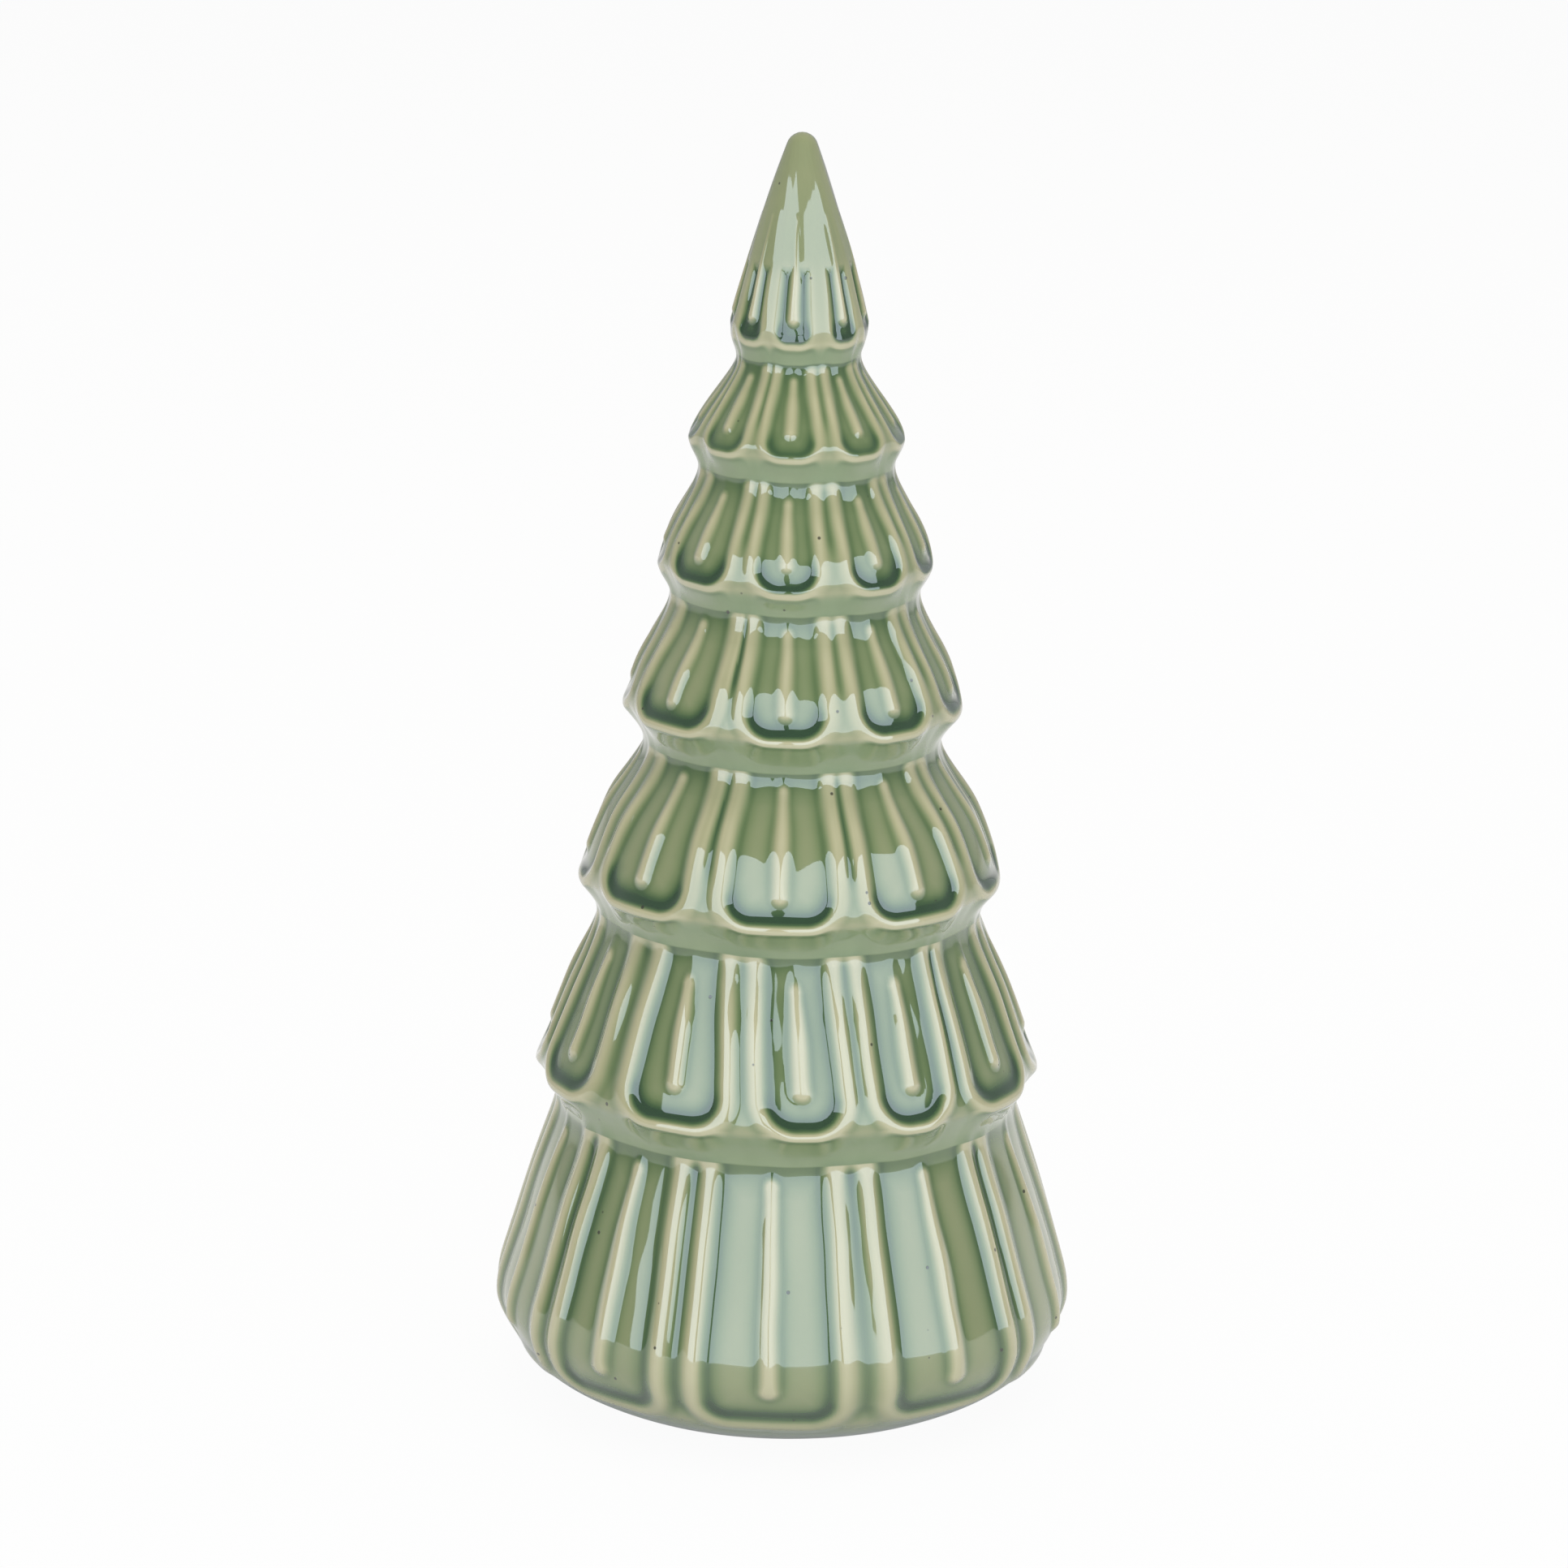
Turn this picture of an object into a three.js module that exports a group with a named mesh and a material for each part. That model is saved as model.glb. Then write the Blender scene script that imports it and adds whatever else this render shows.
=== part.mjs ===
// Christmas tree figurine: one hollow slip-cast stoneware body with seven flared tiers of leaves,
// and four rubber bumpers stuck under its foot ring.
// Lengths are in millimetres and angles in degrees. +Z is up, the front faces -Y, and an angle
// round the tree is measured from the front towards +X.
import * as THREE from "three";

// Main sizes
const TREE_HEIGHT = 240;
const WIDEST_DIAMETER = 110.2;
const FOOT_DIAMETER = 72;
const TIP_RADIUS = 3;
const WALL = 4.5;

// Relief: every leaf is a raised U with a rib standing inside it
const RIDGE_HEIGHT = 1.4;
const RIDGE_WIDTH = 6.6;
const RIB_WIDTH_SHARE = 0.85;
const RISE_SHARE = 0.5;
const RISE_START = 0.2;
const GAP_RISE = 2.4;
const GAP_FILL = 0.6;
const GAP_FILL_LENGTH = 5;

// Bumpers and the underside of the foot
const BUMPER_COUNT = 4;
const BUMPER_DIAMETER = 8;
const BUMPER_HEIGHT = 1.2;
const BUMPER_CHAMFER = 0.3;
const BUMPER_MARGIN = 1;
const FIRST_BUMPER_ANGLE = 45;
const RECESS_DEPTH = 1.5;
const POUR_HOLE_DIAMETER = 18;

// How finely the skin is divided
const BUMPER_SIDES = 24;
const INSIDE_COLUMNS = 24;
const LEAST_ROW_STEP = 0.5;
const NORMAL_STEP = 0.8;
const SLOPE_ROW_SKEW = 0.8;
const LOW_ROWS = 3;

const FULL_TURN = 360;
const BODY_HEIGHT = TREE_HEIGHT - BUMPER_HEIGHT;

// Tiers from the top down, as shares of the main sizes. lip is the outermost ridge crest and waist
// the neck under it, each as a share of the widest radius and of the body's height. bulge is how
// far the slope between them rounds out, as a share of its length. bead is the height of the
// ridges as a share of the greatest one. The rest are in widths of the widest ridge: beadWidth,
// corner for the round bottom of each U, legTop and ribTop for how far down the slope the ridges
// begin, ribGap for the space under a rib and footGap for the clay under the lowest leaves. front
// lists the measured leaves, each from leg to leg. The rest of the leaves fill the circle. The
// leaves of a slim tier are too narrow for more than one column between leg and rib. The leaves
// of the top tier are sunk into a smooth cone.
const TIER_SHARES = [
  {
    lip: [0.2373, 0.843], waist: [0.192, 0.8291], bulge: 0.02, bead: 0.57, beadWidth: 0.4,
    corner: 0.42, legTop: 4.1, ribTop: 3.4, ribGap: 0.6, slopeRows: 0, leaves: 9, slim: true,
    front: [[-63, -30], [-23.5, 13.5], [25, 58], [66, 97]],
  },
  {
    lip: [0.3696, 0.7615], waist: [0.317, 0.7429], bulge: 0.035, bead: 0.71, beadWidth: 0.55,
    corner: 0.53, legTop: 0.5, ribTop: 0.6, ribGap: 0.66, slopeRows: 1, leaves: 9, slim: true,
    front: [[-62, -29], [-20.5, 12.5], [22, 54.5], [63, 95]],
  },
  {
    lip: [0.4656, 0.661], waist: [0.4076, 0.6436], bulge: 0.089, bead: 0.79, beadWidth: 0.6,
    corner: 0.61, legTop: 0.5, ribTop: 0.65, ribGap: 0.76, slopeRows: 1, leaves: 9,
    front: [[-64, -28], [-19.3, 11.5], [22, 54], [62, 94]],
  },
  {
    lip: [0.5743, 0.552], waist: [0.4873, 0.5226], bulge: 0.058, bead: 0.86, beadWidth: 0.7,
    corner: 0.76, legTop: 0.55, ribTop: 0.6, ribGap: 0.72, slopeRows: 1, leaves: 9,
    front: [[-67.5, -27.5], [-19, 13.5], [22, 54.5], [62, 95]],
  },
  {
    lip: [0.7174, 0.4143], waist: [0.6377, 0.3857], bulge: 0.098, bead: 0.93, beadWidth: 0.73,
    corner: 0.91, legTop: 0.55, ribTop: 0.6, ribGap: 0.91, slopeRows: 2, leaves: 9,
    front: [[-63, -29], [-20, 14.5], [21, 56], [62.5, 96]],
  },
  {
    lip: [0.8605, 0.2615], waist: [0.7772, 0.2265], bulge: 0.009, bead: 0.93, beadWidth: 0.85,
    corner: 0.98, legTop: 0.55, ribTop: 0.9, ribGap: 1.25, slopeRows: 2, leaves: 12,
    front: [[-76, -50], [-41, -13.5], [-7.5, 14.8], [20.5, 41.7], [47.3, 74]],
  },
  {
    lip: [1, 0.0796], waist: [FOOT_DIAMETER / WIDEST_DIAMETER, 0], bellyHeight: 0.0255, bulge: 0.016, bead: 1,
    beadWidth: 1, corner: 0.9, legTop: 0.6, ribTop: 0.7, ribGap: 1.3, footGap: 2.35, slopeRows: 4, leaves: 10,
    front: [[-86, -58.5], [-52, -25], [-17.7, 13], [21.5, 53], [59.5, 90]],
  },
];

// A tier with its lengths in millimetres.
function sized(shares) {
  const point = ([radius, height]) => [radius * (WIDEST_DIAMETER / 2), height * BODY_HEIGHT];
  const tier = { ...shares, lip: point(shares.lip), waist: point(shares.waist) };
  tier.bead *= RIDGE_HEIGHT;
  for (const key of ["beadWidth", "corner", "legTop", "ribTop", "ribGap"]) tier[key] *= RIDGE_WIDTH;
  if (shares.footGap) tier.footGap *= RIDGE_WIDTH;
  if (shares.bellyHeight) tier.bellyHeight *= BODY_HEIGHT;
  return tier;
}

const TIERS = TIER_SHARES.map(sized);

const smooth = (x) => THREE.MathUtils.smoothstep(x, 0, 1);

// A ridge's height at a distance from its crest line, as a share of its full height.
function ridge(distance, width) {
  const share = Math.min(Math.abs(distance) / (width / 2), 1);
  return Math.cos((share * Math.PI) / 2) ** 2;
}

// The leaves of one tier: the measured ones, then even ones round the back.
function leavesOf(tier) {
  const last = tier.front[tier.front.length - 1];
  const free = tier.front[0][0] + FULL_TURN - last[1];
  const missing = tier.leaves - tier.front.length;
  const gap = last[0] - tier.front[tier.front.length - 2][1];
  const span = (free - gap * (missing + 1)) / missing;
  const back = Array.from({ length: missing }, (_, i) => {
    const start = last[1] + gap + i * (span + gap);
    return [start, start + span];
  });
  return [...tier.front, ...back].map(([from, to]) => ({ centre: (from + to) / 2, half: (to - from) / 2 }));
}

// The panel surface of a tier, as radius and height, from its top to its waist. On the top tier
// it is the cone that the leaves are sunk into.
function tierPath(tier, above) {
  const lip = new THREE.Vector2(above ? tier.lip[0] - tier.bead : tier.lip[0], tier.lip[1]);
  const path = new THREE.Path();
  if (above) {
    path.moveTo(above.waist[0], above.waist[1]);
  } else {
    const lean = Math.atan2(lip.x - TIP_RADIUS, BODY_HEIGHT - TIP_RADIUS - lip.y);
    path.absarc(0, BODY_HEIGHT - TIP_RADIUS, TIP_RADIUS, Math.PI / 2, lean, true);
  }
  const start = above ? path.currentPoint.clone() : path.getPoint(1);
  const middle = start.clone().add(lip).multiplyScalar(0.5);
  const bulge = new THREE.Vector2(start.y - lip.y, lip.x - start.x).multiplyScalar(tier.bulge);
  middle.add(bulge);
  path.quadraticCurveTo(middle.x, middle.y, lip.x, lip.y);
  if (tier.bellyHeight) path.quadraticCurveTo(lip.x, tier.bellyHeight, tier.waist[0], tier.waist[1]);
  else path.lineTo(tier.waist[0], tier.waist[1]);
  return path;
}

// A tier's surface and where the bottoms of its leaves run on it: at the lip, or above the foot.
function layoutOf(tier, above) {
  const path = tierPath(tier, above);
  const length = path.getLength();
  const at = (down) => path.getPointAt(THREE.MathUtils.clamp(down / length, 0, 1));
  const crest = length - (tier.footGap ?? path.curves[path.curves.length - 1].getLength());
  const crestDegree = at(crest).x * THREE.MathUtils.DEG2RAD;
  return { ...tier, path, length, at, crest, crestDegree, isSunk: !above };
}

// How far the edge of an arc has risen at a distance beyond its centre.
function arcRise(beyond, radius) {
  const across = THREE.MathUtils.clamp(beyond, 0, radius);
  return radius - Math.sqrt(radius ** 2 - across ** 2);
}

// Share of their full height that the ridges have reached: they rise out of the neck above them.
function risen(layout, down) {
  if (layout.isSunk) return 1;
  return RISE_START + (1 - RISE_START) * smooth(down / (layout.crest * RISE_SHARE));
}

// Height of the relief over the panels at an offset from a leaf's middle, all in millimetres.
function relief(layout, offset, half, down) {
  const acrossCorner = Math.abs(offset) - (half - layout.corner);
  const downCorner = down - (layout.crest - layout.corner);
  const outside = Math.hypot(Math.max(acrossCorner, 0), Math.max(downCorner, 0));
  const inside = Math.min(Math.max(acrossCorner, downCorner), 0);
  const fromLeg = Math.hypot(outside + inside - layout.corner, Math.max(layout.legTop - down, 0));
  const ribWidth = layout.beadWidth * RIB_WIDTH_SHARE;
  const ribEnd = layout.crest - layout.ribGap - ribWidth / 4;
  const fromRib = Math.hypot(offset, Math.max(layout.ribTop - down, down - ribEnd, 0));
  const ridges = Math.max(ridge(fromLeg, layout.beadWidth), ridge(fromRib, ribWidth));
  return layout.bead * risen(layout, down) * ridges;
}

// Columns of a tier: for each leaf its two legs, the feet of legs and rib, the rib and the gap.
// Offsets are angles from the leaf's middle. Under the rib its feet spread to the U's corners.
function columnsOf(layout) {
  const leaves = leavesOf(layout);
  return leaves.flatMap((leaf, i) => {
    const next = leaves[(i + 1) % leaves.length];
    const nextStart = next.centre - next.half + (i + 1 === leaves.length ? FULL_TURN : 0);
    const legFoot = leaf.half - layout.beadWidth / 2 / layout.crestDegree;
    const ribFoot = (layout.beadWidth * RIB_WIDTH_SHARE) / 2 / layout.crestDegree;
    const feet = layout.slim ? [(legFoot + ribFoot) / 2] : [ribFoot, legFoot];
    const flat = leaf.half - layout.corner / layout.crestDegree;
    const gap = (leaf.centre + leaf.half + nextStart) / 2 - leaf.centre;
    const offsets = [0, ...feet, leaf.half].flatMap((offset) => (offset ? [-offset, offset] : [0]));
    return [...offsets.sort((a, b) => a - b), gap].map((offset) => {
      const spreads = Math.abs(offset) === feet[0] && feet[0] < flat;
      const lowOffset = spreads ? Math.sign(offset) * flat : offset;
      return { leaf, offset, lowOffset, angle: leaf.centre + offset, isGap: offset === gap };
    });
  });
}

// How far down the tier one column's vertices lie. The last rows follow the bottom of the U.
function rowsOf(layout, column) {
  const { crest, corner, ribGap, slopeRows, legTop, beadWidth } = layout;
  const halfBead = beadWidth / 2;
  const beyond = (Math.abs(column.lowOffset) - column.leaf.half) * layout.crestDegree + corner;
  const ribFoot = crest - ribGap + halfBead / 2;
  const slopeTop = legTop + halfBead;
  const slope = Array.from({ length: slopeRows }, (_, i) => {
    return slopeTop + (ribFoot - beadWidth - slopeTop) * ((i + 1) / (slopeRows + 1)) ** SLOPE_ROW_SKEW;
  });
  const downs = [
    legTop - halfBead,
    slopeTop - halfBead / 2,
    ...slope,
    ribFoot - beadWidth,
    ribFoot,
    crest - halfBead - arcRise(beyond, corner - halfBead),
    crest - Math.min(arcRise(beyond, corner), GAP_RISE),
    crest + halfBead,
  ];
  for (let i = downs.length - 2; i >= 0; i--) downs[i] = Math.min(downs[i], downs[i + 1] - LEAST_ROW_STEP);
  return downs.map((down, i) => {
    return { down, offset: i < downs.length - LOW_ROWS ? column.offset : column.lowOffset };
  });
}

function pointAt(angle, radius, height) {
  const turn = angle * THREE.MathUtils.DEG2RAD;
  return new THREE.Vector3(radius * Math.sin(turn), -radius * Math.cos(turn), height);
}

function circle(angles, radius, height) {
  return angles.map((angle) => ({ angle, point: pointAt(angle, radius, height) }));
}

// A vertex of the tier, raised by the relief square to the surface.
function raisedPoint(layout, column, row) {
  const point = layout.at(row.down);
  const along = layout.at(row.down + NORMAL_STEP).sub(layout.at(row.down - NORMAL_STEP)).normalize();
  const degree = point.x * THREE.MathUtils.DEG2RAD;
  let height = relief(layout, row.offset * degree, column.leaf.half * degree, row.down);
  if (column.isGap && row.down < layout.crest) {
    const filled = smooth(1 - (layout.crest - GAP_RISE - row.down) / GAP_FILL_LENGTH);
    height = Math.max(height, layout.bead * (layout.isSunk ? 1 : GAP_FILL * filled));
  }
  if (layout.isSunk) height -= layout.bead * smooth(1 - (layout.legTop - row.down) / layout.beadWidth);
  const angle = column.leaf.centre + row.offset;
  return pointAt(angle, point.x - along.y * height, point.y + along.x * height);
}

// The rings of one tier, from under its top edge down to its waist. A ring holds one vertex for
// each column, with the column's angle to stitch it by.
function tierRings(tier, above) {
  const layout = layoutOf(tier, above);
  const columns = columnsOf(layout);
  const angles = columns.map((column) => column.angle);
  const strands = columns.map((column) => {
    return rowsOf(layout, column).map((row) => {
      return { angle: column.angle, point: raisedPoint(layout, column, row) };
    });
  });
  const rings = strands[0].map((_, row) => strands.map((strand) => strand[row]));
  if (!above) {
    const cap = layout.path.curves[0].getLength();
    const plain = [cap / 2, cap, (cap + tier.legTop) / 2].map(layout.at);
    rings.unshift(...plain.map((point) => circle(angles, point.x, point.y)));
  }
  if (tier.footGap) {
    const belly = layout.at((layout.crest + tier.beadWidth / 2 + layout.length) / 2);
    rings.push(circle(angles, belly.x, belly.y));
  }
  rings.push(circle(angles, tier.waist[0], tier.waist[1]));
  return rings;
}

// The unglazed foot: flat ring, recess and the hole that the slip was poured through.
function footRings(angles) {
  const recessRadius = FOOT_DIAMETER / 2 - BUMPER_DIAMETER - 2 * BUMPER_MARGIN;
  const holeRadius = POUR_HOLE_DIAMETER / 2;
  const floor = RECESS_DEPTH + WALL;
  return [
    circle(angles, recessRadius, 0),
    circle(angles, recessRadius, RECESS_DEPTH),
    circle(angles, holeRadius, RECESS_DEPTH),
    circle(angles, holeRadius, floor),
  ];
}

// The hollow from its floor up: the outline set in by the wall.
function hollowRings(angles) {
  const lowest = TIERS[TIERS.length - 1];
  const floor = RECESS_DEPTH + WALL;
  const side = lowest.lip[0] - lowest.bead - WALL;
  const belly = new THREE.QuadraticBezierCurve(
    new THREE.Vector2(FOOT_DIAMETER / 2 - WALL, floor),
    new THREE.Vector2(side, floor),
    new THREE.Vector2(side, Math.max(lowest.lip[1], floor + WALL)),
  );
  const rings = belly.getPoints(3).map((point) => circle(angles, point.x, point.y));
  for (const tier of TIERS.slice(0, -1).reverse()) {
    rings.push(circle(angles, tier.waist[0] - WALL, tier.waist[1]));
    if (!tier.slim) rings.push(circle(angles, tier.lip[0] - tier.bead - WALL, tier.lip[1]));
  }
  return rings;
}

// Where the hollow's cone closes under the tip.
function hollowTop() {
  const [radius, height] = TIERS[0].waist;
  const cone = (radius - TIP_RADIUS) / (BODY_HEIGHT - TIP_RADIUS - height);
  return height + (radius - WALL) / cone;
}

// Joins rings into one closed skin, from a point on the axis to another.
function skin(first, rings, last) {
  const positions = [first.x, first.y, first.z];
  const indices = [];
  const numbered = rings.map((ring) => {
    const ordered = ring
      .map(({ angle, point }) => ({ angle: THREE.MathUtils.euclideanModulo(angle, FULL_TURN), point }))
      .sort((a, b) => a.angle - b.angle);
    return ordered.map(({ angle, point }) => {
      positions.push(point.x, point.y, point.z);
      return { angle, point, index: positions.length / 3 - 1 };
    });
  });
  const vertex = (ring, i) => {
    const turn = Math.floor(i / ring.length);
    return { ...ring[i % ring.length], angle: ring[i % ring.length].angle + FULL_TURN * turn };
  };
  const fan = (ring, index, flip) => ring.forEach((_, i) => {
    const [a, b] = [vertex(ring, i).index, vertex(ring, i + 1).index];
    indices.push(...(flip ? [index, b, a] : [index, a, b]));
  });
  const zip = (upper, lower) => {
    let [i, j] = [0, 0];
    while (i < upper.length || j < lower.length) {
      const [a, b] = [vertex(upper, i), vertex(lower, j)];
      const [nextA, nextB] = [vertex(upper, i + 1), vertex(lower, j + 1)];
      const even = Math.abs(nextA.angle - nextB.angle) < 1e-6;
      const shorter = nextA.point.distanceTo(b.point) < a.point.distanceTo(nextB.point);
      const upperNext = even ? shorter : nextA.angle < nextB.angle;
      const stepUpper = j === lower.length || (i < upper.length && upperNext);
      indices.push(a.index, b.index, stepUpper ? nextA.index : nextB.index);
      if (stepUpper) i += 1;
      else j += 1;
    }
  };
  fan(numbered[0], 0, false);
  numbered.slice(1).forEach((ring, i) => zip(numbered[i], ring));
  positions.push(last.x, last.y, last.z);
  fan(numbered[numbered.length - 1], positions.length / 3 - 1, true);
  const geometry = new THREE.BufferGeometry();
  geometry.setAttribute("position", new THREE.Float32BufferAttribute(positions, 3));
  geometry.setIndex(indices);
  geometry.computeVertexNormals();
  return geometry;
}

function ceramicBody() {
  const insideAngles = Array.from({ length: INSIDE_COLUMNS }, (_, i) => (FULL_TURN * i) / INSIDE_COLUMNS);
  const rings = TIERS.flatMap((tier, i) => tierRings(tier, TIERS[i - 1]));
  rings.push(...footRings(insideAngles), ...hollowRings(insideAngles));
  const geometry = skin(pointAt(0, 0, BODY_HEIGHT), rings, pointAt(0, 0, hollowTop()));
  const glaze = new THREE.MeshStandardMaterial({ color: 0x7f9968, roughness: 0.15, metalness: 0 });
  const body = new THREE.Mesh(geometry, glaze);
  body.name = "ceramic_body";
  body.position.z = BUMPER_HEIGHT;
  return body;
}

function footBumper(number) {
  const radius = BUMPER_DIAMETER / 2;
  const profile = [
    new THREE.Vector2(0, 0),
    new THREE.Vector2(radius - BUMPER_CHAMFER, 0),
    new THREE.Vector2(radius, BUMPER_CHAMFER),
    new THREE.Vector2(radius, BUMPER_HEIGHT),
    new THREE.Vector2(0, BUMPER_HEIGHT),
  ];
  const geometry = new THREE.LatheGeometry(profile, BUMPER_SIDES).rotateX(Math.PI / 2);
  const rubber = new THREE.MeshStandardMaterial({ color: 0xb9bcb8, roughness: 0.5, metalness: 0 });
  const bumper = new THREE.Mesh(geometry, rubber);
  bumper.name = `foot_bumper_${number}`;
  const angle = FIRST_BUMPER_ANGLE + ((number - 1) * FULL_TURN) / BUMPER_COUNT;
  bumper.position.copy(pointAt(angle, FOOT_DIAMETER / 2 - BUMPER_MARGIN - radius, 0));
  return bumper;
}

const figurine = new THREE.Group();
figurine.add(ceramicBody());
for (let number = 1; number <= BUMPER_COUNT; number++) figurine.add(footBumper(number));

export default figurine;
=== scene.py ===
"""Looks of the glazed stoneware Christmas tree figurine: the drain-cast body as one fine skin, with
the glaze thinned to cream on its ridges and pooled dark in its hollows, painted shade darkening each
tier's top under the lip above, on frosted bumpers.

Lengths are in millimetres until a mesh is made, and angles round the tree run from the front (-Y)
towards +X.
"""

import math

import bpy
import numpy as np
from mathutils import Euler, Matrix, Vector


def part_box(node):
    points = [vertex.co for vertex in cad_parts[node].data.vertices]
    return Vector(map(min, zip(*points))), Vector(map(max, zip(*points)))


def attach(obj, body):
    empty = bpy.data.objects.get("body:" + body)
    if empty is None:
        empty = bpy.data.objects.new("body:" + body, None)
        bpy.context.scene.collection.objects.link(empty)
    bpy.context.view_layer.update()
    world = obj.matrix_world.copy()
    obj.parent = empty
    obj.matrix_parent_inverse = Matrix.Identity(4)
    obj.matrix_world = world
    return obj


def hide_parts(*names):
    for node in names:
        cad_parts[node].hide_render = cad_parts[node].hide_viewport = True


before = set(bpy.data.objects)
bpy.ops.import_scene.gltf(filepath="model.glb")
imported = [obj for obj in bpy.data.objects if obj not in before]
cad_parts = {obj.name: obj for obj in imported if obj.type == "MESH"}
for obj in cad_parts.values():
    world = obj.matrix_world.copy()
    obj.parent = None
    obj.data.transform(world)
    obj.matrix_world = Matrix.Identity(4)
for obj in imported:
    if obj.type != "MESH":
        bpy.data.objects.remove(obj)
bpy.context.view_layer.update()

MM = 0.001
SEED = 7

# Body, in millimetres
TIP_HEIGHT = 238.8
TIP_RADIUS = 3.0
FOOT_RADIUS = 35.4
FOOT_RING_WIDTH = 10.0
RECESS_DEPTH = 1.5
POUR_HOLE_RADIUS = 9.0
WALL = 4.5

# Mesh: columns round the tree, distances between rows, and how far from the foot's edge the rows
# beside it lie
COLUMNS = 600
FINE_ROW = 0.42
COARSE_ROW = 1.1
TIP_ROW = 0.8
TOP_TIER_ROW = 0.6
SMOOTH_TIP_LENGTH = 14
FOOT_INSET = 0.4

# How far fine rows go on below the legs' tops, and from where above a rib's end and the U's corners
# they start again
FINE_BELOW_LEG_TOP = 3
FINE_ABOVE_RIB_END = 2
FINE_ABOVE_CORNER = 1.5

# Corners of the profile: passes in which each is relaxed, and rows reached on either side of it, of
# which the last few are relaxed less and less
LIP_ROUNDING = (10, 9)
GAP_ROUNDING = (16, 10)
WAIST_ROUNDING = (56, 16)
BELLY_ROUNDING = (10, 5)
ROUNDING_FADE = 4

# Slopes: how far down the neck goes, and what brings its curve to a height of 1
NECK_LENGTH = 16.0
NECK_PEAK = 27 / 4

# Ridges: share of the slope on which they gain height
RISE_SHARE = 0.45

# Lip between two leaves: how far it rises, over which distance of the slope that fades, over which it
# is smoothed along the lip, and how far past a leaf's crest line the lip counts as between two
GAP_RISE = 1.3
GAP_RISE_REACH = 9
GAP_RISE_BLUR = 0.8
GAP_BLEND = 1.5

# Foot: height of the rim between leaves as a share of the ridges, over which distance it falls to
# that, and over which distance the relief fades above the foot's edge
FOOT_RIM = 0.78
FOOT_RIM_FALL = 3
FOOT_FADE = 6

# Grooves between leaves: where down the slope they start, over which distances they open and fill
# up, and a margin that keeps half a gap above zero
GROOVE_START = -2
GROOVE_OPENING = 4
GROOVE_FILLING = 5
GROOVE_MARGIN = 0.1

# Top tier: over which distance the channels inside the legs close above them
CHANNEL_CLOSING = 3

# Ribs: width and height at their tops as shares of those lower down, the share of their length on
# which they grow, and how far their round ends are set back as a share of their half width
RIB_TOP_WIDTH = 0.72
RIB_TOP_HEIGHT = 0.85
RIB_GROWTH = 0.65
RIB_END_INSET = 0.35

# Panels' swelling, as shares of a flank: how far inside the legs it starts, over which distance it
# grows, and how much longer that is above the U's bottom
SWELL_START = 0.7
SWELL_REACH = 0.9
SWELL_EXTRA_REACH = 0.8

# Panels' swelling, down the slope: how far above the U's corners it starts to grow more slowly, how
# far down from the tier's top it begins, and over which distance it grows there
SWELL_RISE = 4
SWELL_TOP = 1
SWELL_GROWTH = 4

# Wander of legs and ribs by hand. Legs sway in waves of so many radians per millimetre down, shifted
# by some radians between a leaf's two sides. Ribs lean about a point at a share of the slope, and
# wobble. Distances are in millimetres.
LEG_SWAY = 0.08
LEG_SWAY_PACE = (0.16, 0.3)
LEG_SWAY_SHIFT = 0.8
RIB_LEAN = 0.2
RIB_LEAN_MIDDLE = 0.6
RIB_WOBBLE = 0.06
RIB_WOBBLE_PACE = 0.4

# Bands under the tiers: hollow as a share of their width, how far the lip's cream runs in on them
# under a leaf and how much further between two, and over what distance their own colour begins
UNDERSIDE_SAG = 0.04
CREAM_RUN = 1.2
CREAM_EXTRA_RUN = 2.6
BAND_START = 2.4

# Unevenness of the cast: height of a wave, least and most turns of it round the tree, and least and
# most radians per millimetre up it. They fade towards the axis and towards the foot.
WAVES_OF_A_KIND = 16
SLOW_WAVES = (0.02, 1, 12, 0.05, 0.3)
FINE_WAVES = (0.007, 9, 30, 0.12, 0.6)
WAVE_FADE_RADIUS = 10
WAVE_FADE_HEIGHT = 6

# How the glaze has flowed off the crests: over which distances and how much of it, and the share of
# that by which the crests themselves are thinned. At a tier's top they are thinned less.
GLAZE_FLOW = [(0.7, 1.4), (1.7, 0.9), (6.0, 0.12)]
CREST_FLOW = 0.55
TOP_CREAM = 0.4

# Pooled glaze: where on a leg's flank it begins and is deepest, as shares of the flank, how far it
# reaches from there, and how far above the U's corners it rises
POOL_START = 0.3
POOL_DEEPEST = 0.75
POOL_REACH = 2.4
POOL_RISE = 3

# Pooled glaze at a tier's top, partly painted shade under the lip above: strength, reach, and the height
# of relief at which there is none
TOP_POOL_AND_SHADE = 0.7
TOP_POOL_AND_SHADE_REACH = 3.0
TOP_POOL_AND_SHADE_LIMIT = 0.6

# Height at which the bare clay of the foot ends, and over what distance
GLAZE_LINE = 0.7
GLAZE_LINE_BLUR = 0.4

# Light of the two windows that the glaze mirrors
WINDOW_RADIANCE = 2.4
WINDOW_COLOUR = (0.74, 0.87, 1.0)

# Camera, fitted to the photograph: place in metres, lens in millimetres, angles in degrees
CAMERA_PLACE = (-0.00134, -1.0172, 0.3895)
CAMERA_LENS = 129.1
CAMERA_DIP = 14.98
CAMERA_ROLL = 0.98

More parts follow.
